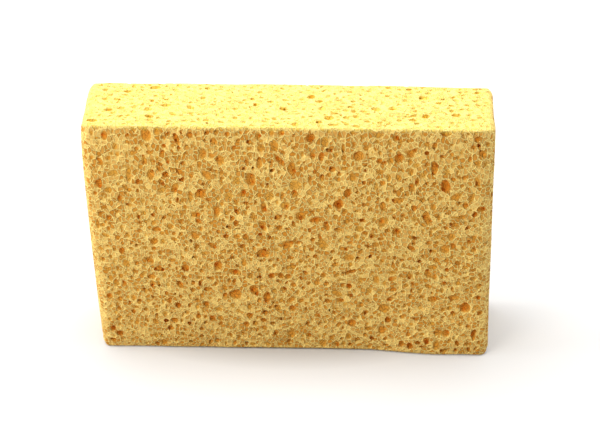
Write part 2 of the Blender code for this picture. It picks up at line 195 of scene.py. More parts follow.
        (47, 53.5, 1.6, 1.8, 0), (25.5, 51.8, 4, 1.4, 0), (32.5, 47, 2.6, 1.2, 0),
        (38, 48.6, 1.8, 1, 0), (21.5, 43.7, 3, 2, 20), (36.3, 43.3, 2.4, 1.4, 0),
        (34, 39.3, 2.2, 1.4, 0), (22.5, 38.3, 3, 1.8, 45), (23.5, 35.9, 2.2, 1.2, 20),
        (8, 42.3, 1.6, 1.4, 0), (48.2, 71.3, 2.6, 1.8, 0), (80, 68.3, 3.4, 1.8, 10),
        (76.3, 68.2, 2.6, 1.2, 0), (89, 68.2, 1.4, 2.8, 0), (73, 70.1, 2, 1.2, 0),
        (67.8, 62.5, 2.4, 2, 0), (71.3, 57.3, 1.8, 2.4, 0), (83.5, 55.7, 2.6, 1.6, 0),
        (89.8, 51, 1.6, 2.6, 0), (67.5, 51, 2.4, 1.6, 0), (80.5, 49.8, 2.6, 1.6, 0),
        (82, 43.3, 2.6, 1.8, 0), (86, 41.9, 2.2, 1.2, 0), (77.5, 41.3, 2.8, 1.8, -15),
        (73.5, 41.7, 2, 2, 0), (58.3, 42.3, 2.4, 1.8, -20), (53.5, 48.7, 2.2, 1, -20),
        (60.8, 46, 2.4, 1.2, 0), (48.5, 40, 3.4, 1.6, 0), (85.8, 37.5, 3, 2, 0),
        (82, 37.8, 2.2, 1.8, 0), (-71.3, 32.5, 1.6, 2, 0), (-63.4, 33, 2, 3, 0),
        (-60.5, 33, 1.8, 2.8, 0), (-66.8, 29.2, 1.8, 2.4, 0), (-69.8, 23.6, 2, 3, 0),
        (-83, 21.2, 1.8, 1.6, 0), (-71.5, 20.8, 2.8, 1.2, 0), (-57, 14.2, 2.6, 1.6, 0),
        (-67, 11.7, 2.2, 2, 0), (-71, 13, 2.2, 2.2, 0), (-75.3, 9.2, 1.4, 1.6, 0),
        (-58.3, 3.2, 3.2, 2.4, 0), (-66.5, 2.4, 1.6, 1.4, 0), (-62, 2.4, 1.8, 1.6, 0),
        (-49.5, 4.7, 1.6, 1.6, 0), (-51.8, 11.6, 1.8, 1.6, 0), (-12.4, 32, 2.4, 2, 0),
        (-6.5, 30, 2.2, 2.6, 0), (-2.5, 31, 2.6, 1.8, 0), (-6.3, 26.6, 1.2, 1.4, 0),
        (-13.6, 25, 1.8, 2.8, -30), (-15, 20.8, 1.6, 1.2, 0), (-42.5, 21.3, 2.4, 2.2, 0),
        (-47.3, 18.5, 2.4, 1.8, -25), (-32.5, 20.3, 4.2, 1.8, 0), (-23.4, 19.5, 2.2, 2, 0),
        (-28, 18.2, 1.2, 1.2, 0), (-27.7, 12.7, 2, 2, 0), (-46.4, 13, 2, 1.8, 0),
        (-45.4, 6.5, 2.2, 2, 0), (-33.2, 9.5, 1.2, 1.2, 0), (-20, 3, 1.4, 1.6, 0),
        (-16.6, 2.6, 3.4, 1.6, 0), (-29.2, 3, 1.4, 2, 0), (-10, 7.9, 1.8, 1.4, 0),
        (-5.9, 8.3, 2.4, 1.6, 0), (-1.5, 17.8, 1.6, 1.4, -20), (-3.8, 15.7, 1.8, 1.6, 0),
        (-3.7, 12, 1.6, 1.6, 0), (-33.5, 4.2, 2, 2.2, 0), (-45.8, 3.4, 1.6, 1.4, 0),
        (17.7, 34, 2.6, 2, 20), (7, 31.5, 1.4, 1.8, 0), (4.3, 29.2, 1.4, 2.8, -20),
        (44.8, 34.5, 1.8, 2.4, 0), (28, 28.4, 3, 1.2, -10), (11, 25.6, 1.6, 2.6, 0),
        (15.2, 26.5, 2, 1.4, 30), (24, 25.2, 3.4, 1.2, 0), (47.5, 26.8, 3.2, 2.2, 0),
        (44.6, 22, 5, 3.8, 0), (42.3, 18.8, 1.8, 1.8, 0), (27.5, 20, 2.4, 1.2, 0),
        (22, 21.4, 3.2, 1, 0), (14.5, 22.7, 1.8, 1.6, 0), (6.2, 11.3, 1.8, 1.6, 0),
        (12, 11, 1.8, 2.2, 0), (37.8, 11.5, 4, 1.8, 8), (9.3, 7.8, 1.8, 2.2, 0),
        (28.2, 7.4, 2.4, 2.8, 0), (17, 8, 1.6, 1.4, 0), (36, 8.2, 1.6, 2, 0),
        (38.8, 6.8, 1.6, 1.4, 0),
        (26, 3.6, 2, 2.4, 0), (29.6, 2.8, 1.8, 2.2, 0), (38, 2.4, 2, 1.4, 0),
        (42.3, 2.2, 2.4, 1.4, 0),
        (45.8, 3.8, 2.4, 1, 0), (6.8, 5.3, 1.8, 1.2, 0), (55, 33.7, 2.4, 2, 0),
        (61.8, 36.3, 2.2, 1.4, 0), (51.2, 32.3, 1.2, 1.4, 0), (53.3, 30.7, 2.2, 1.4, 0),
        (71.5, 31.5, 2, 2.6, 0), (72, 34.6, 3, 1.6, 0), (88.5, 33.8, 2.8, 2.4, 0),
        (85, 29.2, 2, 1.8, 0), (62.2, 28.2, 2.8, 1.6, 0), (75.3, 25, 2.4, 1, 0),
        (51.4, 23.3, 1.8, 1.6, 0), (54.4, 23.8, 1.4, 1.8, 0), (56.4, 21.5, 1.2, 2.8, 0),
        (72.2, 22.3, 2, 1.6, 30), (87.8, 24, 3, 1.4, 10), (53.3, 18.2, 2.4, 1.8, 0),
        (75.5, 17.8, 1.6, 1.2, 0), (80.2, 15.5, 2.4, 1.6, 0), (90.3, 16.5, 1.6, 2, 0),
        (61.6, 12.6, 2.6, 1.4, 0), (62.7, 10.4, 2, 1.4, 0), (52, 13.8, 1.4, 1.8, 0),
        (73.2, 2.8, 3.2, 1.8, 10), (66, 3.4, 1.4, 1.4, 0), (78.2, 2.8, 1.6, 1.4, 0),
        (81.9, 2.6, 1.8, 1.4, 0), (77.5, 9, 1.4, 1.4, 0), (84.5, 3.5, 1.6, 2.4, 0),
    ),
    PoreDepth.SHALLOW: (
        (-81, 88, 5, 3.5, 0), (16.5, 104.5, 3.5, 4.8, 0), (3, 83, 5.5, 5, 0), (-9, 77.5, 4.5, 4, 0),
        (15.8, 54, 4, 5, 30), (-1.5, 73, 4, 4, 0), (72.8, 90.5, 3, 3, 0), (-67.2, 68.5, 3, 2.8, 0),
        (-77, 46.3, 3, 2, 0), (-91.5, 101.7, 2, 2, 0), (-90.5, 87, 2, 2, 0), (-83, 92.5, 3, 1.6, 0),
        (-60.2, 108.3, 3, 4, 0), (-73.8, 87.5, 2.4, 6.4, -5), (-78.6, 82.8, 2.8, 2, 0),
        (-83, 79.6, 3.2, 3.4, 0), (-66.2, 81, 2, 2, 0), (-67.5, 74.5, 2.6, 2.6, 0),
        (-58.5, 80, 3.5, 3, 0), (-43.5, 102.5, 1.4, 2.6, 0), (-33.5, 101.2, 1.8, 1.8, 0),
        (-23, 96.5, 1.4, 2.8, 0), (-2.5, 104.6, 2.8, 2, 0), (-18, 97.8, 2.4, 2.6, 0),
        (-24, 85, 3.4, 4.4, 0), (-43, 89.5, 1.8, 1.8, 0), (-36, 81.8, 1.8, 1.6, 0),
        (-27.5, 77.5, 3.6, 3.6, 0), (-1.5, 81, 2.4, 2.4, 0), (-14, 86.6, 2.2, 1.8, 0),
        (41, 108.3, 4.4, 2.4, 0), (46, 87.5, 2.2, 3.6, 0), (40.2, 83, 2.2, 3.8, 0),
        (47.8, 83.2, 2.6, 2, 0), (20.3, 83.5, 2.2, 2.6, 0), (17.6, 76.8, 2.2, 2, 0),
        (7.2, 83.5, 1.6, 3, 0), (60.6, 109, 2, 2.2, 0), (72, 109.3, 5, 2.4, 0),
        (75.5, 93.5, 2.2, 2.6, 0), (58.5, 93.8, 3, 2.4, 0), (61.5, 88.8, 3, 3, 0),
        (79, 100.3, 2.4, 2.2, 0), (90.5, 77, 2, 3, 0), (-74, 66.8, 2.6, 2.6, 0),
        (-66.2, 57.6, 2, 2.4, -20), (-58.3, 54.3, 2.8, 2.6, 0), (-88, 45.3, 6, 2.4, -15),
        (-87.2, 34.5, 2.2, 2.8, 0), (-58, 37.3, 2.4, 3, 0), (-57, 45.3, 2, 1.8, 0),
        (-18.5, 63.2, 2.4, 2.2, 0), (-5.7, 56.5, 2, 2, 0), (-5.5, 50.8, 2.6, 2.2, 0),
        (-8.7, 41.2, 2.2, 2.2, 0), (33, 61.7, 4.2, 2.8, 15), (8, 57, 2.2, 2, 0),
        (92.5, 61.5, 1.6, 2.8, 0), (68.5, 58.3, 2.6, 2.4, 0), (92, 38.5, 2, 2.6, 0),
        (-56.3, 32.5, 2.2, 3, 0), (-86.2, 23.5, 1.4, 3, 0), (-57.8, 17.8, 3, 2.4, 0),
        (-62.2, 6.6, 2.6, 3, 0), (-36, 8.2, 2.6, 2.4, 0), (-9.4, 2.8, 3.6, 1.4, -20),
        (37.6, 31, 3.2, 3.4, 0), (42.5, 30, 2.4, 2.4, 0), (26.8, 23.7, 3, 2, 20),
        (14.3, 7.2, 1.8, 2.6, 0), (8.5, 3, 3, 1.6, 0), (0.5, 13.5, 2.4, 2.6, 0),
        (61.5, 23.3, 2, 3, 0),
        (84.3, 18, 2, 2.4, 0), (67, 15.7, 3, 1.8, 0),
    ),
}


def smooth_step(value: np.ndarray, start: float, end: float) -> np.ndarray:
    """Rise smoothly from 0 at the start to 1 at the end.

    Args:
        value: the numbers to judge.
        start: where the rise begins.
        end: where the rise ends.

    Returns:
        A share from 0 to 1 for each number.
    """
    share = np.clip((value - start) / (end - start), 0.0, 1.0)
    return share * share * (3 - 2 * share)


@dataclass(frozen=True)
class BlockShape:
    """The outer shape of the block: a rounded box, and how the saw wandered from it."""

    length: float = 190.5
    height: float = 111.0
    thickness: float = 52.5
    end_edge_radius: float = 3.5
    upright_edge_radius: float = 5.5
    long_edge_radius: float = 1.2
    left_tuck: float = 8.7
    left_tuck_height: float = 100.0
    right_tuck: float = 1.0
    left_tuck_curve: float = 1.2
    front_lean: float = 3.5
    back_crown: float = 1.5
    crown_power: int = 4
    foot_bulge: float = 4.5
    foot_length: float = 62.0
    foot_ramp: float = 38.0
    foot_height: float = 35.0
    rounds_to_settle: int = 4

    def half(self) -> np.ndarray:
        """Return half of the box's length, thickness and height."""
        return np.array((self.length, self.thickness, self.height)) / 2

    def tuck(self, x: np.ndarray, z: np.ndarray) -> np.ndarray:
        """Work out how far a place moves along the block.

        Args:
            x: places along the plain box.
            z: their heights.

        Returns:
            How far each one moves to the right.
        """
        along = 2 * x / self.length
        low = np.maximum(0, 1 - z / self.left_tuck_height) ** self.left_tuck_curve
        left = self.left_tuck * np.maximum(0, -along) * low
        right = self.right_tuck * np.maximum(0, along) * (1 - z / self.height)
        return left - right

    def as_cut(self, points: np.ndarray) -> np.ndarray:
        """Move points of the plain box to where the saw left them.

        Args:
            points: one row of X, Y and Z for each point.

        Returns:
            The moved points.
        """
        x, y, z = points.T
        lean = self.front_lean * (1 - z / self.height)
        foot_start = self.length / 2 - self.foot_length
        foot = smooth_step(x, foot_start, foot_start + self.foot_ramp)
        foot = self.foot_bulge * foot * (1 - smooth_step(z, 0.0, self.foot_height))
        front_share = 0.5 - y / self.thickness
        crown = 1 - (2 * x / self.length) ** self.crown_power
        backward = (1 - front_share) * self.back_crown * crown
        moved_y = y - front_share * (lean + foot) + backward
        return np.stack((x + self.tuck(x, z), moved_y, z), axis=1)

    def plain_x(self, x: float, z: float) -> float:
        """Find where along the plain box a place on the finished block comes from.

        Args:
            x: the place along the finished block.
            z: its height.

        Returns:
            The place along the plain box.
        """
        plain = x
        for _ in range(self.rounds_to_settle):
            plain = x - float(self.tuck(np.array(plain), np.array(z)))
        return plain

    def distance(self, x: np.ndarray, y: np.ndarray, z: np.ndarray) -> np.ndarray:
        """Measure how far points lie outside the rounded box, or below zero inside it.

        Args:
            x: places along the box.
            y: places through it.
            z: heights above its base.

        Returns:
            The distance of each point.
        """
        half = self.half()
        out = (np.abs(x) - half[0], np.abs(y) - half[1], np.abs(z - half[2]) - half[2])
        walls = []
        for first, second, radius in ((0, 1, self.upright_edge_radius),
                                      (0, 2, self.end_edge_radius),
                                      (1, 2, self.long_edge_radius)):
            a = out[first] + radius
            b = out[second] + radius
            corner = np.sqrt(np.maximum(a, 0) ** 2 + np.maximum(b, 0) ** 2)
            walls.append(corner + np.minimum(np.maximum(a, b), 0) - radius)
        return np.maximum(np.maximum(walls[0], walls[1]), walls[2])


@dataclass(frozen=True)
class PoreKind:
    """One range of pore sizes, and how densely it fills what the larger ones leave."""

    name: str
    smallest: float
    largest: float
    small_bias: float
    flattest: float
    wall: float
    tries_per_square_centimetre: float
    deepest: float = 0.0


class PoreSizes(Enum):
    """The ranges of pore sizes, in the order in which they are made. Sizes are radii."""

    LARGE = PoreKind("large", 1.5, 3.1, 1.8, 0.55, 0.7, 1.4)
    MEDIUM = PoreKind("medium", 1.1, 1.9, 1.5, 0.45, 0.25, 12.0)
    SMALL = PoreKind("small", 0.8, 1.1, 1.0, 0.6, 0.25, 4.0)
    INNER = PoreKind("inner", 0.8, 1.2, 1.0, 0.7, 0.5, 90.0, 5.0)


@dataclass
class FoamVolume:
    """A grid of points around the block that holds how far each lies from the foam's surface.

    Args:
        shape: the block.
        spacing: the distance between the grid's points.
        margin: how far the grid reaches past the block.
        seed: what the random places are drawn from.
        facets: how many flatter stretches the rim of a cell has.
        facet_turn: how far each of them may turn from its even place, in radians.
        facet_place: how far out each of them lies, as a share of the cell.
        cell_margin: how far past a cell's own size the grid is measured for it.
        main_share: the size of a lobed cell's main part, as a share of the cell.
        lobe_place: how far out its lobes lie, as shares of the cell.
        lobe_share: the size of its lobes, as shares of the cell.
        far_off: how far a place without any cell is taken to be from one.
    """

    shape: BlockShape
    spacing: float
    margin: float = 2.7
    seed: int = 7
    facets: int = 5
    facet_turn: float = 0.4
    facet_place: tuple[float, float] = (0.80, 0.97)
    cell_margin: float = 1.0
    main_share: float = 0.93
    lobe_place: tuple[float, float] = (0.45, 0.6)
    lobe_share: tuple[float, float] = (0.5, 0.62)
    far_off: float = 9.0
    chance: np.random.Generator = field(init=False)
    start: np.ndarray = field(init=False)
    counts: tuple[int, int, int] = field(init=False)
    block: np.ndarray = field(init=False)
    large: np.ndarray = field(init=False)
    small: np.ndarray = field(init=False)

    def __post_init__(self) -> None:
        """Measure the plain block on the grid, with no pores yet."""
        self.chance = np.random.default_rng(self.seed)
        half = self.shape.half()
        self.start = np.array((-half[0], -half[1], 0.0)) - self.margin
        spans = 2 * half + 2 * self.margin
        self.counts = tuple(int(math.ceil(span / self.spacing)) + 1 for span in spans)
        x, y, z = self.places((0, 0, 0), self.counts)
        self.block = self.shape.distance(x, y, z).astype(np.float32)
        far = np.float32(2 * self.spacing + self.far_off)
        self.large = np.full(self.counts, far, dtype=np.float32)
        self.small = np.full(self.counts, far, dtype=np.float32)

    def places(self, low: np.ndarray, high: np.ndarray) -> tuple[np.ndarray, ...]:
        """Return the X, Y and Z of the grid's points from one index to another.

        Args:
            low: the first index along each axis.
            high: the index after the last one.

        Returns:
            Three arrays that broadcast over the grid.
        """
        lines = []
        for axis in range(3):
            line = self.start[axis] + self.spacing * np.arange(low[axis], high[axis])
            turned = [1, 1, 1]
            turned[axis] = -1
            lines.append(line.astype(np.float32).reshape(turned))
        return tuple(lines)

    def at(self, layer: np.ndarray, place: np.ndarray) -> float:
        """Read a layer at the grid's point nearest to a place.

        Args:
            layer: the layer.
            place: the place, as X, Y and Z.

        Returns:
            The number that the layer holds there.
        """
        index = np.rint((place - self.start) / self.spacing).astype(int)
        index = np.clip(index, 0, np.array(self.counts) - 1)
        return float(layer[tuple(index)])

    def open_cell(self, layer: np.ndarray, centre: np.ndarray, radii: np.ndarray,
                  axes: np.ndarray) -> None:
        """Open one rounded cell in a layer.

        Args:
            layer: the layer to change.
            centre: the cell's middle.
            radii: its half size along its own three axes.
            axes: those axes, one to a row.
        """
        reach = radii.max() + 3 * self.spacing + self.cell_margin
        low = np.floor((centre - reach - self.start) / self.spacing).astype(int)
        high = np.ceil((centre + reach - self.start) / self.spacing).astype(int) + 1
        low = np.clip(low, 0, self.counts)
        high = np.clip(high, 0, self.counts)
        if np.any(high <= low):
            return
        x, y, z = self.places(low, high)
        x, y, z = x - centre[0], y - centre[1], z - centre[2]
        shares = [(x * axis[0] + y * axis[1] + z * axis[2]) / radius
                  for axis, radius in zip(axes, radii)]
        total = np.sqrt(shares[0] ** 2 + shares[1] ** 2 + shares[2] ** 2)
        even_turns = np.arange(self.facets) * 2 * math.pi / self.facets
        for turn in self.chance.uniform(0, 2 * math.pi) + even_turns:
            turn = turn + self.chance.uniform(-self.facet_turn, self.facet_turn)
            facet = shares[0] * math.cos(turn) + shares[1] * math.sin(turn)
            total = np.maximum(total, facet + 1 - self.chance.uniform(*self.facet_place))
        distance = (total - 1) * float(np.sort(radii)[1])
        part = layer[low[0]:high[0], low[1]:high[1], low[2]:high[2]]
        np.minimum(part, distance, out=part)

    def open_lobed_cell(self, layer: np.ndarray, centre: np.ndarray, radii: np.ndarray,
                        axes: np.ndarray, lobes: int) -> None:
        """Open a cell with smaller cells at its sides, as where two or three have run together.

        Args:
            layer: the layer to change.
            centre: the cell's middle.
            radii: its half size along its own three axes.
            axes: those axes, one to a row.
            lobes: how many smaller cells it gets.
        """
        self.open_cell(layer, centre, radii * self.main_share, axes)
        for _ in range(lobes):
            push = self.chance.normal(size=3)
            push = push / np.linalg.norm(push)
            lobe_centre = centre + (push * radii * self.chance.uniform(*self.lobe_place)) @ axes
            lobe_radii = radii * self.chance.uniform(*self.lobe_share)
            self.open_cell(layer, lobe_centre, lobe_radii, axes)

    def noise(self, cell: float) -> np.ndarray:
        """Make smooth random numbers on the grid.

        Args:
            cell: the distance over which they change.

        Returns:
            Numbers from -1 to 1.
        """
        spans = [count * self.spacing / cell for count in self.counts]
        values = self.chance.uniform(-1, 1, [int(span) + 3 for span in spans]).astype(np.float32)
        for axis, count in enumerate(self.counts):
            place = np.arange(count) * self.spacing / cell
            first = place.astype(int)
            share = place - first
            turned = [1, 1, 1]
            turned[axis] = -1
            share = (share * share * (3 - 2 * share)).astype(np.float32).reshape(turned)
            values = (np.take(values, first, axis=axis) * (1 - share)
                      + np.take(values, first + 1, axis=axis) * share)
        return values

    def read(self, layer: np.ndarray, points: np.ndarray) -> np.ndarray:
        """Read a layer at many points, each from the eight of the grid around it.

        Args:
            layer: the layer.
            points: one row of X, Y and Z for each point.

        Returns:
            A number for each point.
        """
        place = (points - self.start) / self.spacing
        first = np.clip(place.astype(int), 0, np.array(self.counts) - 2)
        share = place - first
        total = np.zeros(len(points))
        for corner in np.ndindex(2, 2, 2):
            weight = np.prod(np.where(corner, share, 1 - share), axis=1)
            total += weight * layer[tuple((first + corner).T)]
        return total

    def surface(self) -> np.ndarray:
        """Return how far each point of the grid lies outside the foam."""
        return np.maximum(self.block, -np.minimum(self.large, self.small))


@dataclass(frozen=True)
class Side:
    """One side of the plain box.

    Args:
        name: what it is called.
        large_pores: how densely large pores are scattered on it, as a share of the usual.
        normal: the direction out of it.
        across: the direction of its length.
        up: the direction of its height.
    """

    name: str
    large_pores: float
    normal: tuple[int, int, int]
    across: tuple[int, int, int]
    up: tuple[int, int, int]

    def axes(self) -> np.ndarray:
        """Return its three directions, one to a row."""
        return np.array((self.across, self.up, self.normal), dtype=float)


SIDES = (
    Side("front", 0.0, (0, -1, 0), (1, 0, 0), (0, 0, 1)),
    Side("back", 1.0, (0, 1, 0), (-1, 0, 0), (0, 0, 1)),
    Side("top", 0.7, (0, 0, 1), (1, 0, 0), (0, 1, 0)),
    Side("base", 1.0, (0, 0, -1), (-1, 0, 0), (0, 1, 0)),
    Side("left", 1.0, (-1, 0, 0), (0, -1, 0), (0, 0, 1)),
    Side("right", 1.0, (1, 0, 0), (0, 1, 0), (0, 0, 1)),
)


@dataclass
class Sponge:
    """The one piece: a block of foam with its pores.

    Args:
        shape: the block.
        spacing: the distance between the points of the grid that it is made on.
        triangles: how many triangles the mesh keeps.
        bare_patch: the radius of the place on the base that has no pore.
        edge_wall: the foam left between a pore and an edge.
        unevenness: how far the sawn sides wander in and out.
        unevenness_size: how wide those swells are.
        cell_roughness: how rough the walls of the pores are.
        cell_roughness_size: how wide that roughness is.
        fine_roughness: how rough they are at a smaller scale.
        fine_roughness_size: how wide that roughness is.
        read_shift: what is added to the places of the front's pores, as read from the photograph.
        even_width: the usual width of a pore of the front.
        reach: half the size of such a pore, as a share of the width that was read.
        large_reach: the same for one above the usual width.
        sink: how far its middle lies under the front, as a share of its depth.
        depth_spread: how much its depth varies, as shares of the depth of its group.
        lobed_width: the width from which a pore of the front has lobes.
        front_lobes: how many lobes it has.
        lobed_radius: the radius above which another pore has a lobe.
        edged_radius: the radius above which it keeps away from the edges.
        middle_spread: how far its middle may lie above or under the side, as a share of its radius.
        thickness_spread: how deep it is, as shares of its radius.
        inner_skin: the least foam over the middle of a pore inside the block.
        inner_overlap: how much such a pore may cut into a large one, as a share of its radius.
        low_press: how much the net of fine cells is pressed together low on a side.
        press_fade: how fast that fades with height.
        map_gap: the room between two sides on the maps.
        sharp_angle: the angle in degrees above which an edge stays sharp.
    """

    shape: BlockShape = field(default_factory=BlockShape)
    spacing: float = 0.45
    quick_spacing: float = 0.7
    triangles: int = 196_000
    bare_patch: float = 7.0
    edge_wall: float = 0.5
    unevenness: float = 0.22
    unevenness_size: float = 14.0
    cell_roughness: float = 0.19
    cell_roughness_size: float = 1.9
    fine_roughness: float = 0.12
    fine_roughness_size: float = 0.95
    read_shift: tuple[float, float] = (0.6, -0.5)
    even_width: float = 2.4
    reach: float = 0.60
    large_reach: float = 0.63
    sink: float = 0.12
    depth_spread: tuple[float, float] = (0.85, 1.1)
    lobed_width: float = 1.8
    front_lobes: int = 2
    lobed_radius: float = 1.2
    edged_radius: float = 1.0
    middle_spread: float = 0.3
    thickness_spread: tuple[float, float] = (0.7, 1.1)
    inner_skin: float = 0.8
    inner_overlap: float = 0.45
    low_press: float = 1.28
    press_fade: float = 0.0025
    map_gap: float = 6.0
    sharp_angle: float = 50.0

    def turned(self, axes: np.ndarray, angle: float) -> np.ndarray:
        """Turn a side's directions about its normal."""
        turn = Matrix.Rotation(angle, 3, "Z")
        return np.array(turn.transposed()) @ axes

    def open_front_pores(self, volume: FoamVolume) -> None:
        """Open the larger pores of the front, each at its own place.

        Args:
            volume: the foam.
        """
        axes = next(side for side in SIDES if side.name == "front").axes()
        for share, rows in FRONT_PORES.items():
            for x, z, width, height, turn in rows:
                depth = share.value * math.sqrt(self.even_width * (width + height) / 2)
                depth *= volume.chance.uniform(*self.depth_spread)
                x, z = x + self.read_shift[0], z + self.read_shift[1]
                plain = self.shape.plain_x(x, z)
                centre = np.array((plain, -self.shape.thickness / 2 + self.sink * depth, z))
                reach = self.large_reach if width + height > 2 * self.even_width else self.reach
                radii = np.array((reach * width, reach * height, depth))
                turned = self.turned(axes, math.radians(turn))
                if min(width, height) < self.lobed_width:
                    volume.open_cell(volume.large, centre, radii, turned)
                else:
                    volume.open_lobed_cell(volume.large, centre, radii, turned,
                                           self.front_lobes)

    def open_pores(self, volume: FoamVolume, kind: PoreKind) -> int:
        """Open pores of one range of sizes wherever there is room on the sides.

        Args:
            volume: the foam.
            kind: the range of sizes.

        Returns:
            How many were opened.
        """
        half = self.shape.half()
        middle = np.array((0.0, 0.0, half[2]))
        layer = volume.large if kind is PoreSizes.LARGE.value else volume.small
        opened = 0
        for side in SIDES:
            axes = side.axes()
            reach = np.abs(axes) @ half
            area = 4 * reach[0] * reach[1] / SQUARE_CENTIMETRE
            tries = area * kind.tries_per_square_centimetre
            if kind is PoreSizes.LARGE.value:
                tries *= side.large_pores
            for _ in range(int(tries)):
                share = volume.chance.random() ** kind.small_bias
                radius = kind.smallest + (kind.largest - kind.smallest) * share
                depth = volume.chance.uniform(-self.middle_spread, self.middle_spread) * radius
                if kind.deepest:
                    depth = volume.chance.uniform(self.inner_skin, kind.deepest)
                edge_room = radius + self.edge_wall if radius > self.edged_radius else 0.0
                room = reach[:2] - edge_room
                across, up = volume.chance.uniform(-1, 1, 2) * room
                flat = np.array((across, up, reach[2] - depth))
                centre = middle + flat @ axes
                if not self.has_room(volume, kind, centre, radius):
                    continue
                radii = radius * np.array((1.0, volume.chance.uniform(kind.flattest, 1.0),
                                           volume.chance.uniform(*self.thickness_spread)))
                turned = self.turned(axes, volume.chance.uniform(0, math.pi))
                if radius > self.lobed_radius:
                    volume.open_lobed_cell(layer, centre, radii, turned, 1)
                else:
                    volume.open_cell(layer, centre, radii, turned)
                opened += 1
        return opened

    def has_room(self, volume: FoamVolume, kind: PoreKind, centre: np.ndarray,
                 radius: float) -> bool:
        """Tell whether a pore fits at a place, with a wall to those around it.

        Args:
            volume: the foam.
            kind: the pore's range of sizes.
            centre: its middle.
            radius: its half size.

        Returns:
            True where it fits.
        """
        if centre[2] < radius and math.hypot(centre[0], centre[1]) < self.bare_patch + radius:
            return False
        if volume.at(volume.small, centre) < radius + kind.wall:
            return False
        from_large = volume.at(volume.large, centre)
        if kind.deepest:
            inside = volume.at(volume.block, centre) < -self.inner_skin
            return abs(from_large) < self.inner_overlap * radius and inside
        return from_large > radius + kind.wall

    def make_surface(self, volume: FoamVolume) -> bpy.types.Object:
        """Turn the volume into a mesh in the plain box's place, in millimetres.

        Args:
            volume: the foam.

        Returns:
            The new object.
        """
        limit = 3 * volume.spacing
        values = np.clip(volume.surface(), -limit, limit)
        grid = openvdb.FloatGrid(limit)
        grid.copyFromArray(values)
        grid.gridClass = openvdb.GridClass.LEVEL_SET
        points, _, quads = grid.convertToPolygons(isovalue=0.0, adaptivity=0.0)
        points = points * volume.spacing + volume.start
        data = bpy.data.meshes.new("sponge_foam")
        data.from_pydata(points.tolist(), [], quads[:, ::-1].tolist())
        foam = bpy.data.objects.new("sponge_foam", data)
        bpy.context.scene.collection.objects.link(foam)
        LOG.info("surface: %d points, %d faces", len(points), len(quads))
        return foam

    def thin_out(self, foam: bpy.types.Object) -> None:
        """Leave faces only where the shape needs them.

        Args:
            foam: the block.
        """
        select_only(foam)
        thinning = foam.modifiers.new("Fewer faces", "DECIMATE")
        thinning.ratio = min(1.0, self.triangles / (2 * len(foam.data.polygons)))
        bpy.ops.object.modifier_apply(modifier=thinning.name)

    def drop_loose_bits(self, foam: bpy.types.Object) -> None:
        """Keep what hangs together with the middle of the base, and delete the rest.

        Args:
            foam: the block, in the plain box's place.
        """
        select_only(foam)
        coordinates = mesh_points(foam)
        nearest = int(np.argmin(np.linalg.norm(coordinates, axis=1)))
        bpy.ops.object.mode_set(mode="EDIT")
        bpy.ops.mesh.select_mode(type="VERT")
        bpy.ops.mesh.select_all(action="DESELECT")
        bpy.ops.object.mode_set(mode="OBJECT")
        foam.data.vertices[nearest].select = True
        bpy.ops.object.mode_set(mode="EDIT")
        bpy.ops.mesh.select_linked()
        bpy.ops.mesh.select_all(action="INVERT")
        bpy.ops.mesh.delete(type="VERT")
        bpy.ops.object.mode_set(mode="OBJECT")

    def note_places(self, foam: bpy.types.Object, volume: FoamVolume) -> None:
        """Store what the finish needs to know of each point, for its painted shade and painted
        light.

        They are `depth`, how deep it lies in the block, and `wall`, how far it lies from the
        nearest pore.

        Args:
            foam: the block, in millimetres.
            volume: the foam that it was made from.
        """
        points = mesh_points(foam)
        notes = {"depth": -self.shape.distance(*points.T),
                 "wall": volume.read(np.minimum(volume.large, volume.small), points)}
        for name, values in notes.items():
            layer = foam.data.attributes.new(name, "FLOAT", "POINT")
            layer.data.foreach_set("value", np.clip(values, 0, None).astype(np.float32))

    def lay_out_map(self, foam: bpy.types.Object) -> None:
        """Lay the six sides flat on two maps, each at one scale, and apart from the others.

        Args:
            foam: the block, in millimetres.
        """
        points = mesh_points(foam)
        half = self.shape.half()
        middle = np.array((0.0, 0.0, half[2]))
        loops = np.zeros(len(foam.data.loops), dtype=np.int32)
        foam.data.loops.foreach_get("vertex_index", loops)
        starts = np.zeros(len(foam.data.polygons), dtype=np.int32)
        foam.data.polygons.foreach_get("loop_start", starts)
        centres = np.zeros(3 * len(foam.data.polygons), dtype=np.float32)
        foam.data.polygons.foreach_get("center", centres)
        centres = centres.reshape(-1, 3) - middle
        inset = half - np.abs(centres)
        axis = np.argmin(inset, axis=1)
        positive = centres[np.arange(len(axis)), axis] > 0
        normals = np.array([side.normal for side in SIDES])
        wanted = np.zeros((len(axis), 3), dtype=int)
        wanted[np.arange(len(axis)), axis] = np.where(positive, 1, -1)
        number = np.argmax(wanted @ normals.T, axis=1)
        sizes = np.diff(np.append(starts, len(loops)))
        number = np.repeat(number, sizes)
        gap = self.map_gap
        long, high, deep = self.shape.length, self.shape.height, self.shape.thickness
        corners = np.array(((0, 0), (0, high + gap), (0, 2 * (high + gap)),
                            (0, 2 * (high + gap) + deep + gap), (long + gap, 0),
                            (long + gap, high + gap)))
        across = np.array([side.across for side in SIDES])[number]
        up = np.array([side.up for side in SIDES])[number]
        reach = np.abs(np.array([side.axes() @ half for side in SIDES]))[number]
        place = points[loops] - middle
        u = np.einsum("ij,ij->i", place, across) + reach[:, 0] + corners[number, 0]
        v = np.einsum("ij,ij->i", place, up) + reach[:, 1]
        pressed = v * (self.low_press - self.press_fade * v)
        whole = 2 * (high + gap) + 2 * (deep + gap)
        for name, scale, rise in (("OFBake", 1 / (whole + gap), v),
                                  (PATTERN_MAP, MILLIMETRE, pressed)):
            flat = np.stack((u, rise + corners[number, 1]), axis=1) + gap / 2
            layer = foam.data.uv_layers.new(name=name)
            layer.data.foreach_set("uv", (flat * scale).astype(np.float32).ravel())

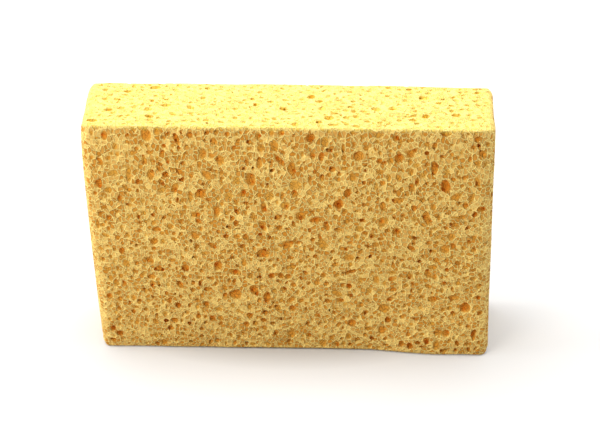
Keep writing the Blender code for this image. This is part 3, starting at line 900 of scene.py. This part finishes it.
    def bend_to_shape(self, foam: bpy.types.Object, box: tuple[Vector, Vector]) -> None:
        """Bend the plain block as the saw left it, and set it where the solid stands.

        Args:
            foam: the block, in millimetres.
            box: the lowest and highest corner of the solid, in metres.
        """
        points = self.shape.as_cut(mesh_points(foam)) * MILLIMETRE
        low, high = points.min(axis=0), points.max(axis=0)
        wanted_low, wanted_high = np.array(box[0]), np.array(box[1])
        shift = (wanted_low + wanted_high - low - high) / 2
        shift[2] = wanted_low[2] - low[2]
        foam.data.vertices.foreach_set("co", (points + shift).astype(np.float32).ravel())
        foam.data.update()

    def build(self, box: tuple[Vector, Vector]) -> bpy.types.Object:
        """Make the sponge.

        Args:
            box: the lowest and highest corner of the solid that it stands for.

        Returns:
            The finished object.
        """
        spacing = self.spacing
        volume = FoamVolume(self.shape, spacing=spacing)
        self.open_front_pores(volume)
        for kind in PoreSizes:
            count = self.open_pores(volume, kind.value)
            LOG.info("%s pores: %d", kind.value.name, count)
        volume.block += self.unevenness * volume.noise(self.unevenness_size)
        rough = (self.cell_roughness * volume.noise(self.cell_roughness_size)
                 + self.fine_roughness * volume.noise(self.fine_roughness_size))
        volume.large += rough
        volume.small += rough
        foam = self.make_surface(volume)
        self.thin_out(foam)
        self.drop_loose_bits(foam)
        self.note_places(foam, volume)
        self.lay_out_map(foam)
        self.bend_to_shape(foam, box)
        select_only(foam)
        bpy.ops.object.shade_smooth_by_angle(angle=math.radians(self.sharp_angle))
        LOG.info("foam: %d faces", len(foam.data.polygons))
        return foam


def select_only(thing: bpy.types.Object) -> None:
    """Select one object and make it the active one.

    Args:
        thing: the object.
    """
    bpy.ops.object.select_all(action="DESELECT")
    thing.select_set(True)
    bpy.context.view_layer.objects.active = thing


def mesh_points(thing: bpy.types.Object) -> np.ndarray:
    """Return a mesh's points, one to a row.

    Args:
        thing: the object that has the mesh.

    Returns:
        The X, Y and Z of each point.
    """
    flat = np.zeros(3 * len(thing.data.vertices), dtype=np.float32)
    thing.data.vertices.foreach_get("co", flat)
    return flat.reshape(-1, 3)


@dataclass(frozen=True)
class CellNet:
    """A net of fine cells, drawn right through the foam: light walls around hollows darkened with
    painted shade.

    Args:
        size: the usual width of a cell, in metres.
        wall: half the thickness of a wall, as a share of a cell.
        lightest: how much painted shade the lightest hollows get, from 0 to 1.
        darkest: how much the darkest ones get.
        wall_ends: where a wall begins and has ended to fade, as shares of its half thickness.
    """

    size: float
    wall: float
    lightest: float
    darkest: float
    wall_ends: tuple[float, float] = (0.2, 2.2)

    def build(self, tree: bpy.types.NodeTree, place: bpy.types.NodeSocket,
              within: bpy.types.NodeSocket | None = None) -> bpy.types.NodeSocket:
        """Add the net's nodes.

        Args:
            tree: the material's nodes.
            place: the coordinates to draw it on.
            within: the painted shade that a finer net gives the hollows of this one, if there is
                one.

        Returns:
            The darkness of each place, from 0 on a wall: painted shade in the hollows.
        """
        edges = tree.nodes.new("ShaderNodeTexVoronoi")
        edges.feature = "DISTANCE_TO_EDGE"
        cells = tree.nodes.new("ShaderNodeTexVoronoi")
        for net in (edges, cells):
            net.voronoi_dimensions = "2D"
            net.inputs["Scale"].default_value = 1 / self.size
            tree.links.new(place, net.inputs["Vector"])
        hollow = tree.nodes.new("ShaderNodeMapRange")
        hollow.interpolation_type = "SMOOTHSTEP"
        hollow.inputs["From Min"].default_value = self.wall * self.wall_ends[0]
        hollow.inputs["From Max"].default_value = self.wall * self.wall_ends[1]
        tree.links.new(edges.outputs["Distance"], hollow.inputs["Value"])
        chosen = tree.nodes.new("ShaderNodeSeparateColor")
        tree.links.new(cells.outputs["Color"], chosen.inputs["Color"])
        share = tree.nodes.new("ShaderNodeMapRange")
        share.inputs["To Min"].default_value = self.lightest
        share.inputs["To Max"].default_value = self.darkest
        tree.links.new(chosen.outputs["Red"], share.inputs["Value"])
        inside = share.outputs["Result"]
        if within is not None:
            darker = tree.nodes.new("ShaderNodeMath")
            darker.operation = "MAXIMUM"
            tree.links.new(inside, darker.inputs[0])
            tree.links.new(within, darker.inputs[1])
            inside = darker.outputs["Value"]
        both = tree.nodes.new("ShaderNodeMath")
        both.operation = "MULTIPLY"
        both.use_clamp = True
        tree.links.new(hollow.outputs["Result"], both.inputs[0])
        tree.links.new(inside, both.inputs[1])
        return both.outputs["Value"]


@dataclass(frozen=True)
class FoamFinish:
    """The dry foam's colour, its finest pores and its dull surface, with painted shade that darkens
    the pores and painted light that makes the top paler.

    Depths and distances from a pore are in millimetres, and all other lengths are in metres.

    Args:
        wall_colour: the foam's own colour.
        painted_shade_pore_colour: painted shade: the darker colour inside the finest pores, which
            are drawn, not modelled.
        painted_shade_hollow_colour: painted shade: the darker colour just inside a pore that is cut
            in the mesh.
        painted_shade_deep_colour: painted shade: the still darker, more orange colour deep in one.
        painted_top_light_pore_colour: painted light: the paler colour of the fine and shallow pores
            on the top, which stands in for the strong light from above.
        painted_top_light_deep_colour: painted light: the same for the deep ones there.
        coarse: the net of the larger fine cells.
        fine: the net of the smaller ones.
        rim: the width of the smooth rim around a pore, which shows less of the net's painted shade.
        rim_light: how little of the net that rim shows.
        painted_top_light_height: the height from which the top's painted light shows.
        painted_top_light_depth: how far below that it has gone.
        waver: how far the noise moves a place of the net.
        waver_size: the size of the noise.
        net_from: the depth from which the net shows again inside a pore, fully at deep_from.
        plain_from: the depth from which the net gives way to the hollow's painted shade.
        plain_to: the depth at which it has.
        plain_most: how much of that colour shows then.
        deep_from: the depth from which the deep painted shade shows.
        deep_to: the depth at which it shows most.
        deep_most: how much of it shows then.
        relief: how far the net stands out.
        roughness: how dull the foam is.
    """

    wall_colour: Colour = (1.00, 0.77, 0.245)
    painted_shade_pore_colour: Colour = (0.60, 0.245, 0.015)
    painted_shade_hollow_colour: Colour = (0.70, 0.385, 0.045)
    painted_shade_deep_colour: Colour = (0.82, 0.29, 0.010)
    painted_top_light_pore_colour: Colour = (0.76, 0.55, 0.10)
    painted_top_light_deep_colour: Colour = (0.96, 0.68, 0.10)
    coarse: CellNet = CellNet(0.00195, 0.090, 0.30, 1.15)
    fine: CellNet = CellNet(0.00115, 0.120, 0.05, 0.95)
    rim: float = 0.30
    rim_light: float = 0.6
    painted_top_light_height: float = 0.1105
    painted_top_light_depth: float = 0.0012
    waver: float = 0.0016
    waver_size: float = 0.003
    net_from: float = 0.175
    plain_from: float = 0.25
    plain_to: float = 0.6
    plain_most: float = 0.85
    deep_from: float = 0.35
    deep_to: float = 1.9
    deep_most: float = 0.95
    relief: float = 0.00060
    roughness: float = 0.92

    def wavering_place(self, tree: bpy.types.NodeTree) -> bpy.types.NodeSocket:
        """Add nodes that read the place on the sponge and make it waver, so cells are uneven.

        Args:
            tree: the material's nodes.

        Returns:
            The wavering coordinates.
        """
        place = tree.nodes.new("ShaderNodeUVMap")
        place.uv_map = PATTERN_MAP
        noise = tree.nodes.new("ShaderNodeTexNoise")
        noise.noise_dimensions = "2D"
        noise.inputs["Scale"].default_value = 1 / self.waver_size
        tree.links.new(place.outputs["UV"], noise.inputs["Vector"])
        centred = tree.nodes.new("ShaderNodeVectorMath")
        centred.operation = "SUBTRACT"
        centred.inputs[1].default_value = (0.5, 0.5, 0.5)
        tree.links.new(noise.outputs["Color"], centred.inputs[0])
        moved = tree.nodes.new("ShaderNodeVectorMath")
        moved.operation = "MULTIPLY_ADD"
        moved.inputs[1].default_value = (self.waver,) * 3
        tree.links.new(centred.outputs["Vector"], moved.inputs[0])
        tree.links.new(place.outputs["UV"], moved.inputs[2])
        return moved.outputs["Vector"]

    def blend(self, tree: bpy.types.NodeTree, share: bpy.types.NodeSocket,
              first: bpy.types.NodeSocket | Colour,
              second: bpy.types.NodeSocket | Colour) -> bpy.types.NodeSocket:
        """Add a node that goes from one colour to another.

        Args:
            tree: the material's nodes.
            share: how much of the second colour shows.
            first: the colour, or the socket that gives it, at 0.
            second: the same for the colour at 1.

        Returns:
            The blended colour.
        """
        mix = tree.nodes.new("ShaderNodeMix")
        mix.data_type = "RGBA"
        tree.links.new(share, mix.inputs["Factor"])
        for colour, end in ((first, "A"), (second, "B")):
            if isinstance(colour, tuple):
                mix.inputs[end].default_value = (*colour, 1.0)
            else:
                tree.links.new(colour, mix.inputs[end])
        return mix.outputs["Result"]

    def ramp(self, tree: bpy.types.NodeTree, value: bpy.types.NodeSocket,
             start: tuple[float, float], end: tuple[float, float]) -> bpy.types.NodeSocket:
        """Add a node that turns one range of numbers into another, and stops at its ends.

        Args:
            tree: the material's nodes.
            value: the numbers.
            start: the range to read.
            end: the range to give.

        Returns:
            The new numbers.
        """
        node = tree.nodes.new("ShaderNodeMapRange")
        node.inputs["From Min"].default_value, node.inputs["From Max"].default_value = start
        node.inputs["To Min"].default_value, node.inputs["To Max"].default_value = end
        tree.links.new(value, node.inputs["Value"])
        return node.outputs["Result"]

    def combine(self, tree: bpy.types.NodeTree, operation: str, first: bpy.types.NodeSocket,
                second: bpy.types.NodeSocket) -> bpy.types.NodeSocket:
        """Add a node that works out one number from two.

        Args:
            tree: the material's nodes.
            operation: what to do with them, by Blender's name for it.
            first: one number.
            second: the other.

        Returns:
            The result.
        """
        node = tree.nodes.new("ShaderNodeMath")
        node.operation = operation
        tree.links.new(first, node.inputs[0])
        tree.links.new(second, node.inputs[1])
        return node.outputs["Value"]

    def build(self) -> bpy.types.Material:
        """Make the material.

        Returns:
            The new material.
        """
        material = bpy.data.materials.new("dry_cellulose_foam")
        material.use_nodes = True
        tree = material.node_tree
        shader = tree.nodes["Principled BSDF"]
        shader.inputs["Roughness"].default_value = self.roughness
        place = self.wavering_place(tree)
        # The cell pattern is the foam's own; the darker hollows are painted shade, since only the
        # bump gives them depth.
        darkness = self.coarse.build(tree, place, self.fine.build(tree, place))
        depth = tree.nodes.new("ShaderNodeAttribute")
        depth.attribute_name = "depth"
        wall = tree.nodes.new("ShaderNodeAttribute")
        wall.attribute_name = "wall"
        solid_place = tree.nodes.new("ShaderNodeTexCoord")
        height = tree.nodes.new("ShaderNodeSeparateXYZ")
        tree.links.new(solid_place.outputs["Object"], height.inputs["Vector"])
        # Painted light: from a set height up, the pores on the top are painted paler, standing in
        # for the strong light that falls on it from above.
        unsunk = tree.nodes.new("ShaderNodeMath")
        unsunk.operation = "MULTIPLY_ADD"
        unsunk.inputs[1].default_value = MILLIMETRE
        tree.links.new(depth.outputs["Fac"], unsunk.inputs[0])
        tree.links.new(height.outputs["Z"], unsunk.inputs[2])
        lit = self.ramp(tree, unsunk.outputs["Value"],
                        (self.painted_top_light_height - self.painted_top_light_depth, self.painted_top_light_height), (0.0, 1.0))
        rims = self.ramp(tree, wall.outputs["Fac"], (0.0, self.rim),
                         (1 - self.rim_light, 1.0))
        sunk = self.ramp(tree, depth.outputs["Fac"], (self.net_from, self.deep_from),
                         (0.0, 1.0))
        open_cells = self.combine(tree, "MAXIMUM", rims, sunk)
        darkness = self.combine(tree, "MULTIPLY", darkness, open_cells)
        # Painted light on the top: there the painted shade of the pores gives way to paler colours.
        painted_shade_pore_colour = self.blend(tree, lit, self.painted_shade_pore_colour, self.painted_top_light_pore_colour)
        painted_shade_hollow_colour = self.blend(tree, lit, self.painted_shade_hollow_colour, self.painted_top_light_pore_colour)
        painted_shade_deep_colour = self.blend(tree, lit, self.painted_shade_deep_colour, self.painted_top_light_deep_colour)
        netted = self.blend(tree, darkness, self.wall_colour, painted_shade_pore_colour)
        # Painted shade: deeper in a pore that is cut in the mesh, the colour turns darker and more
        # orange, standing in for the shade inside it.
        plain = self.ramp(tree, depth.outputs["Fac"], (self.plain_from, self.plain_to),
                          (0.0, self.plain_most))
        hollowed = self.blend(tree, plain, netted, painted_shade_hollow_colour)
        # Painted shade: darker still deep in such a pore.
        sink = self.ramp(tree, depth.outputs["Fac"], (self.deep_from, self.deep_to),
                         (0.0, self.deep_most))
        colour = self.blend(tree, sink, hollowed, painted_shade_deep_colour)
        tree.links.new(colour, shader.inputs["Base Color"])
        bump = tree.nodes.new("ShaderNodeBump")
        bump.invert = True
        bump.inputs["Distance"].default_value = self.relief
        tree.links.new(darkness, bump.inputs["Height"])
        tree.links.new(bump.outputs["Normal"], shader.inputs["Normal"])
        return material


@dataclass(frozen=True)
class Lamp:
    """One soft round lamp that looks at the sponge."""

    name: str
    place: tuple[float, float, float]
    size: float
    power: float
    colour: Colour = (1.0, 1.0, 1.0)

    def build(self, target: Vector) -> bpy.types.Object:
        """Make the lamp and turn it to the target.

        Args:
            target: the point that it looks at.

        Returns:
            The new lamp.
        """
        data = bpy.data.lights.new(self.name, "AREA")
        data.shape = "DISK"
        data.size = self.size
        data.energy = self.power
        data.color = self.colour
        lamp = bpy.data.objects.new(self.name, data)
        lamp.location = self.place
        lamp.rotation_euler = (target - Vector(self.place)).to_track_quat("-Z", "Y").to_euler()
        bpy.context.scene.collection.objects.link(lamp)
        return lamp


@dataclass(frozen=True)
class Studio:
    """The floor, the lamps, the world and the camera.

    Args:
        floor_size: the length of the floor's sides.
        floor_colour: its colour, as it is lit.
        floor_roughness: how dull it is.
        contact_glow: the light that the camera sees added to it under the sponge; being the
            weakest, it paints a shadow there.
        near_glow: the same close around the sponge, weaker than far away, so that it paints a wider
            shadow.
        far_glow: the same far away.
        contact_reach: from where to where the first of these becomes the second.
        far_reach: from where to where the second becomes the third.
        floor_stretch: how these distances are scaled along X, Y and Z.
        world_strength: how strongly the surroundings light the scene.
        lamps: the lamps.
        lamp_target: the point that they look at.
        azimuth: how far the camera stands to the right, in degrees.
        elevation: how high it stands, in degrees.
        roll: how far it is turned about its view, in degrees.
        distance: how far it stands from its target.
        lens: its focal length, in millimetres.
        sensor: the width of its picture, in millimetres.
        farthest: how far it sees.
        target: the point that it looks at.
    """

    floor_size: float = 6.0
    floor_colour: Colour = (0.52, 0.52, 0.52)
    floor_roughness: float = 0.9
    contact_glow: float = 0.04
    near_glow: float = 0.20
    far_glow: float = 0.50
    contact_reach: tuple[float, float] = (0.030, 0.049)
    far_reach: tuple[float, float] = (0.12, 0.60)
    floor_stretch: tuple[float, float, float] = (0.6, 1.0, 1.0)
    world_strength: float = 0.30
    lamps: tuple[Lamp, ...] = (
        Lamp("overhead", (-0.20, 0.42, 1.45), 1.8, 36.0),
        Lamp("front_fill", (-0.40, -0.58, 0.5), 0.5, 3.4, (1.0, 0.86, 0.68)),
        Lamp("left_fill", (-1.0, 0.06, 0.50), 0.8, 6.5),
        Lamp("right_fill", (0.9, 0.20, 0.50), 0.6, 3.5),
    )
    lamp_target: tuple[float, float, float] = (0.0, 0.0, 0.055)
    azimuth: float = 1.49
    elevation: float = 24.0
    roll: float = 0.16
    distance: float = 1.5
    lens: float = 191.0
    sensor: float = 36.0
    farthest: float = 20.0
    target: tuple[float, float, float] = (0.0052, 0.0033, 0.05735)

    def build_floor(self) -> bpy.types.Object:
        """Lay the pale floor. The camera sees it nearly white, and it still shows shadows. Its glow
        fades close to the sponge, which paints a shadow around it.

        Returns:
            The floor.
        """
        bpy.ops.object.select_all(action="DESELECT")
        bpy.ops.mesh.primitive_plane_add(size=self.floor_size, location=(0, 0, 0))
        floor = bpy.context.active_object
        floor.name = "studio_floor"
        material = bpy.data.materials.new("studio_floor")
        material.use_nodes = True
        nodes = material.node_tree.nodes
        links = material.node_tree.links
        shader = nodes["Principled BSDF"]
        shader.inputs["Roughness"].default_value = self.floor_roughness
        shader.inputs["Specular IOR Level"].default_value = 0.0
        place = nodes.new("ShaderNodeTexCoord")
        stretched = nodes.new("ShaderNodeVectorMath")
        stretched.operation = "MULTIPLY"
        stretched.inputs[1].default_value = self.floor_stretch
        links.new(place.outputs["Object"], stretched.inputs[0])
        reach = nodes.new("ShaderNodeVectorMath")
        reach.operation = "LENGTH"
        links.new(stretched.outputs["Vector"], reach.inputs[0])
        # Painted shadow: the glow that the camera sees on the floor is weaker the closer it lies to
        # the sponge.
        steps = []
        for (start, end), (low, high) in (
                (self.contact_reach, (self.contact_glow, self.near_glow)),
                (self.far_reach, (0.0, self.far_glow - self.near_glow))):
            step = nodes.new("ShaderNodeMapRange")
            for name, value in (("From Min", start), ("From Max", end), ("To Min", low),
                                ("To Max", high)):
                step.inputs[name].default_value = value
            links.new(reach.outputs["Value"], step.inputs["Value"])
            steps.append(step)
        both = nodes.new("ShaderNodeMath")
        both.operation = "ADD"
        links.new(steps[0].outputs["Result"], both.inputs[0])
        links.new(steps[1].outputs["Result"], both.inputs[1])
        path = nodes.new("ShaderNodeLightPath")
        glow = nodes.new("ShaderNodeMath")
        glow.operation = "MULTIPLY"
        links.new(path.outputs["Is Camera Ray"], glow.inputs[0])
        links.new(both.outputs["Value"], glow.inputs[1])
        links.new(glow.outputs["Value"], shader.inputs["Emission Strength"])
        shader.inputs["Base Color"].default_value = (*self.floor_colour, 1.0)
        shader.inputs["Emission Color"].default_value = (1.0, 1.0, 1.0, 1.0)
        floor.data.materials.append(material)
        return floor

    def build_world(self) -> None:
        """Surround the scene with even light, which the camera sees as white."""
        world = bpy.data.worlds.new("studio")
        world.use_nodes = True
        nodes = world.node_tree.nodes
        links = world.node_tree.links
        background = nodes["Background"]
        background.inputs["Color"].default_value = (1.0, 1.0, 1.0, 1.0)
        path = nodes.new("ShaderNodeLightPath")
        strength = nodes.new("ShaderNodeMapRange")
        strength.inputs["To Min"].default_value = self.world_strength
        strength.inputs["To Max"].default_value = 1.0
        links.new(path.outputs["Is Camera Ray"], strength.inputs["Value"])
        links.new(strength.outputs["Result"], background.inputs["Strength"])
        bpy.context.scene.world = world

    def build_camera(self) -> bpy.types.Object:
        """Set the camera at the photograph's viewpoint.

        Returns:
            The camera.
        """
        azimuth, elevation = math.radians(self.azimuth), math.radians(self.elevation)
        back = Vector((math.sin(azimuth) * math.cos(elevation),
                       -math.cos(azimuth) * math.cos(elevation), math.sin(elevation)))
        data = bpy.data.cameras.new("camera")
        data.lens = self.lens
        data.sensor_width = self.sensor
        data.clip_end = self.farthest
        camera = bpy.data.objects.new("camera", data)
        camera.location = Vector(self.target) + back * self.distance
        level = back.to_track_quat("Z", "Y")
        camera.rotation_euler = (level.to_matrix() @ Matrix.Rotation(
            math.radians(self.roll), 3, "Z")).to_euler()
        bpy.context.scene.collection.objects.link(camera)
        bpy.context.scene.camera = camera
        return camera

    def build(self) -> None:
        """Build the whole studio."""
        self.build_floor()
        self.build_world()
        self.build_camera()
        for lamp in self.lamps:
            lamp.build(Vector(self.lamp_target))
        bpy.context.scene.view_settings.view_transform = "Standard"


def main() -> None:
    """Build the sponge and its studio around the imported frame."""
    logging.basicConfig(level=logging.INFO, format="%(message)s")
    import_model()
    node_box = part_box("sponge")
    foam = Sponge().build(node_box)
    foam.data.materials.append(FoamFinish().build())
    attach(foam, "root")
    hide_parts("sponge")
    LOG.info("built %s", foam.name)
    Studio().build()
    LOG.info("built the studio")


if __name__ == "__main__":
    main()
